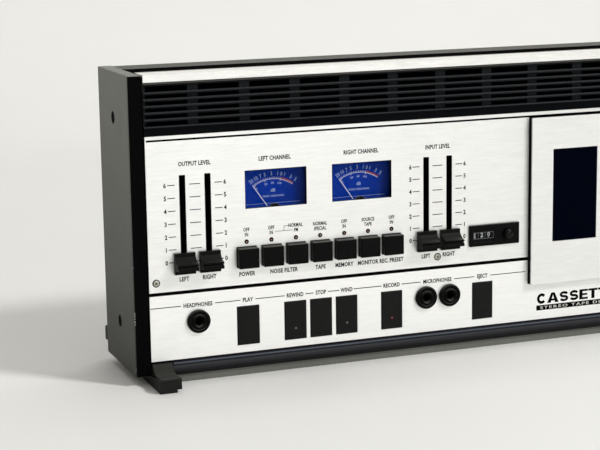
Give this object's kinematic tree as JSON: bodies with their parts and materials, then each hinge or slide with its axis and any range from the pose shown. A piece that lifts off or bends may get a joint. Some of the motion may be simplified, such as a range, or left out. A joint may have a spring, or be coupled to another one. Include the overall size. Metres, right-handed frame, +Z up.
{
  "type": "cassette deck",
  "caption": "Upright front-loading cassette deck with level sliders, needle meters, piano keys, push buttons and a hinged compartment lid.",
  "frame": {"origin": "middle of the footprint, on the surface the deck stands on", "axes": "+X to the deck's right as seen from the front, +Y from the front face to the back, +Z up"},
  "size_m": [0.465, 0.1212, 0.24],
  "materials": {
    "grey_paint": "satin",
    "brushed_aluminium": "brushed",
    "black_plastic": "satin",
    "black_steel": "matte",
    "trim_black": "satin",
    "smoked_acrylic": "gloss",
    "clear_acrylic": "gloss",
    "meter_blue": "matte",
    "needle_white": "matte",
    "rubber": "matte",
    "bright_steel": "satin",
    "board": "matte"
  },
  "bodies": {
    "case": {"left_side_panel": "grey_paint", "right_side_panel": "grey_paint", "top_trim": "brushed_aluminium", "vent_grille": "black_plastic", "control_panel": "brushed_aluminium", "key_panel": "brushed_aluminium", "front_frame": "black_steel", "bottom_trim": "trim_black", "base_plate": "grey_paint", "rear_cover": "grey_paint", "front_foot_left": "black_plastic", "front_foot_right": "black_plastic", "back_foot_upper_left": "rubber", "back_foot_upper_right": "rubber", "back_foot_lower_left": "rubber", "back_foot_lower_right": "rubber", "meter_case_left": "meter_blue", "meter_case_right": "meter_blue", "meter_lens_left": "clear_acrylic", "meter_lens_right": "clear_acrylic", "headphone_jack": "black_plastic", "microphone_jacks": "black_plastic", "counter_body": "black_plastic", "cassette_well": "black_plastic", "capstan_motor": "bright_steel", "control_board": "board", "power_transformer": "bright_steel", "drive_belt": "rubber"},
    "power_button": {"power_button": "black_plastic"},
    "noise_filter_button": {"noise_filter_button": "black_plastic"},
    "radio_filter_button": {"radio_filter_button": "black_plastic"},
    "tape_type_button": {"tape_type_button": "black_plastic"},
    "memory_button": {"memory_button": "black_plastic"},
    "monitor_button": {"monitor_button": "black_plastic"},
    "record_preset_button": {"record_preset_button": "black_plastic"},
    "play_key": {"play_key": "black_plastic"},
    "rewind_key": {"rewind_key": "black_plastic"},
    "stop_key": {"stop_key": "black_plastic"},
    "wind_key": {"wind_key": "black_plastic"},
    "record_key": {"record_key": "black_plastic"},
    "eject_key": {"eject_key": "black_plastic"},
    "counter_reset": {"counter_reset_button": "black_plastic"},
    "knob_output_left": {"knob_output_left": "black_plastic"},
    "knob_output_right": {"knob_output_right": "black_plastic"},
    "knob_input_left": {"knob_input_left": "black_plastic"},
    "knob_input_right": {"knob_input_right": "black_plastic"},
    "needle_left": {"meter_needle_left": "needle_white"},
    "needle_right": {"meter_needle_right": "needle_white"},
    "lid": {"lid_frame": "black_plastic", "lid_plate": "brushed_aluminium", "lid_window": "smoked_acrylic"},
    "supply_reel": {"supply_spindle": "bright_steel"},
    "take_up_reel": {"take_up_spindle": "bright_steel"},
    "upper_capstan": {"capstan_upper": "bright_steel"},
    "lower_capstan": {"capstan_lower": "bright_steel"},
    "pulley": {"motor_pulley": "bright_steel"},
    "counter_digits": {"counter_wheels": "black_plastic"},
    "heads": {"head_carriage": "bright_steel"},
    "pinch_upper": {"pinch_arm_upper": "bright_steel"},
    "pinch_lower": {"pinch_arm_lower": "bright_steel"}
  },
  "joints": [
    {"name": "power_press", "type": "slide", "parent": "case", "child": "power_button", "axis": [0, 1, 0], "range_m": [0, 0.0035], "stiffness_N_per_m": 150},
    {"name": "noise_filter_press", "type": "slide", "parent": "case", "child": "noise_filter_button", "axis": [0, 1, 0], "range_m": [0, 0.0035], "stiffness_N_per_m": 150},
    {"name": "radio_filter_press", "type": "slide", "parent": "case", "child": "radio_filter_button", "axis": [0, 1, 0], "range_m": [0, 0.0035], "stiffness_N_per_m": 150},
    {"name": "tape_type_press", "type": "slide", "parent": "case", "child": "tape_type_button", "axis": [0, 1, 0], "range_m": [0, 0.0035], "stiffness_N_per_m": 150},
    {"name": "memory_press", "type": "slide", "parent": "case", "child": "memory_button", "axis": [0, 1, 0], "range_m": [0, 0.0035], "stiffness_N_per_m": 150},
    {"name": "monitor_press", "type": "slide", "parent": "case", "child": "monitor_button", "axis": [0, 1, 0], "range_m": [0, 0.0035], "stiffness_N_per_m": 150},
    {"name": "record_preset_press", "type": "slide", "parent": "case", "child": "record_preset_button", "axis": [0, 1, 0], "range_m": [0, 0.0035], "stiffness_N_per_m": 150},
    {"name": "play_key_press", "type": "slide", "parent": "case", "child": "play_key", "axis": [0, 1, 0], "range_m": [0, 0.0025], "stiffness_N_per_m": 300},
    {"name": "rewind_key_press", "type": "slide", "parent": "case", "child": "rewind_key", "axis": [0, 1, 0], "range_m": [0, 0.0025], "stiffness_N_per_m": 300},
    {"name": "stop_key_press", "type": "slide", "parent": "case", "child": "stop_key", "axis": [0, 1, 0], "range_m": [0, 0.0025], "stiffness_N_per_m": 300},
    {"name": "wind_key_press", "type": "slide", "parent": "case", "child": "wind_key", "axis": [0, 1, 0], "range_m": [0, 0.0025], "stiffness_N_per_m": 300},
    {"name": "record_key_press", "type": "slide", "parent": "case", "child": "record_key", "axis": [0, 1, 0], "range_m": [0, 0.0025], "stiffness_N_per_m": 300},
    {"name": "eject_key_press", "type": "slide", "parent": "case", "child": "eject_key", "axis": [0, 1, 0], "range_m": [0, 0.0025], "stiffness_N_per_m": 300},
    {"name": "counter_reset_press", "type": "slide", "parent": "case", "child": "counter_reset", "axis": [0, 1, 0], "range_m": [0, 0.0025], "stiffness_N_per_m": 150},
    {"name": "output_left_level", "type": "slide", "parent": "case", "child": "knob_output_left", "axis": [0, 0, 1], "range_m": [0, 0.06]},
    {"name": "output_right_level", "type": "slide", "parent": "case", "child": "knob_output_right", "axis": [0, 0, 1], "range_m": [0, 0.06]},
    {"name": "input_left_level", "type": "slide", "parent": "case", "child": "knob_input_left", "axis": [0, 0, 1], "range_m": [0, 0.06]},
    {"name": "input_right_level", "type": "slide", "parent": "case", "child": "knob_input_right", "axis": [0, 0, 1], "range_m": [0, 0.06]},
    {"name": "meter_left", "type": "hinge", "parent": "case", "child": "needle_left", "pos_m": [-0.1156, -0.02845, 0.1248], "axis": [0, 1, 0], "range_deg": [0, 70], "stiffness_Nm_per_rad": 0.00002},
    {"name": "meter_right", "type": "hinge", "parent": "case", "child": "needle_right", "pos_m": [-0.0432, -0.02845, 0.1248], "axis": [0, 1, 0], "range_deg": [0, 70], "stiffness_Nm_per_rad": 0.00002},
    {"name": "lid_hinge", "type": "hinge", "parent": "case", "child": "lid", "pos_m": [0.1611, -0.03625, 0.1861], "axis": [-1, 0, 0], "range_deg": [0, 75]},
    {"name": "supply_spin", "type": "hinge", "parent": "case", "child": "supply_reel", "pos_m": [0.1449, -0.01405, 0.1028], "axis": [0, 1, 0], "continuous": true},
    {"name": "take_up_spin", "type": "hinge", "parent": "case", "child": "take_up_reel", "pos_m": [0.1449, -0.01405, 0.1453], "axis": [0, 1, 0], "continuous": true},
    {"name": "upper_capstan_spin", "type": "hinge", "parent": "case", "child": "upper_capstan", "pos_m": [0.1741, 0.01295, 0.15745], "axis": [0, 1, 0], "continuous": true},
    {"name": "lower_capstan_spin", "type": "hinge", "parent": "case", "child": "lower_capstan", "pos_m": [0.1741, 0.01295, 0.09065], "axis": [0, 1, 0], "continuous": true},
    {"name": "motor_spin", "type": "hinge", "parent": "case", "child": "pulley", "pos_m": [0.202, 0.01295, 0.12405], "axis": [0, 1, 0], "continuous": true},
    {"name": "counter_spin", "type": "hinge", "parent": "case", "child": "counter_digits", "pos_m": [0.0634, -0.02745, 0.09475], "axis": [1, 0, 0], "continuous": true},
    {"name": "head_slide", "type": "slide", "parent": "case", "child": "heads", "axis": [-1, 0, 0], "range_m": [0, 0.005], "stiffness_N_per_m": 40},
    {"name": "upper_pinch_swing", "type": "hinge", "parent": "case", "child": "pinch_upper", "pos_m": [0.1859, -0.01405, 0.17945], "axis": [0, 1, 0], "range_deg": [0, 12.5]},
    {"name": "lower_pinch_swing", "type": "hinge", "parent": "case", "child": "pinch_lower", "pos_m": [0.1859, -0.01405, 0.06865], "axis": [0, -1, 0], "range_deg": [0, 12.5]}
  ],
  "couplings": [
    {"joint": "upper_pinch_swing", "follows": "head_slide", "rad_per_m": 41.888},
    {"joint": "lower_pinch_swing", "follows": "head_slide", "rad_per_m": 41.888},
    {"joint": "lower_capstan_spin", "follows": "upper_capstan_spin", "ratio": 1},
    {"joint": "motor_spin", "follows": "upper_capstan_spin", "ratio": 4.4},
    {"joint": "counter_spin", "follows": "take_up_spin", "ratio": 0.1}
  ]
}
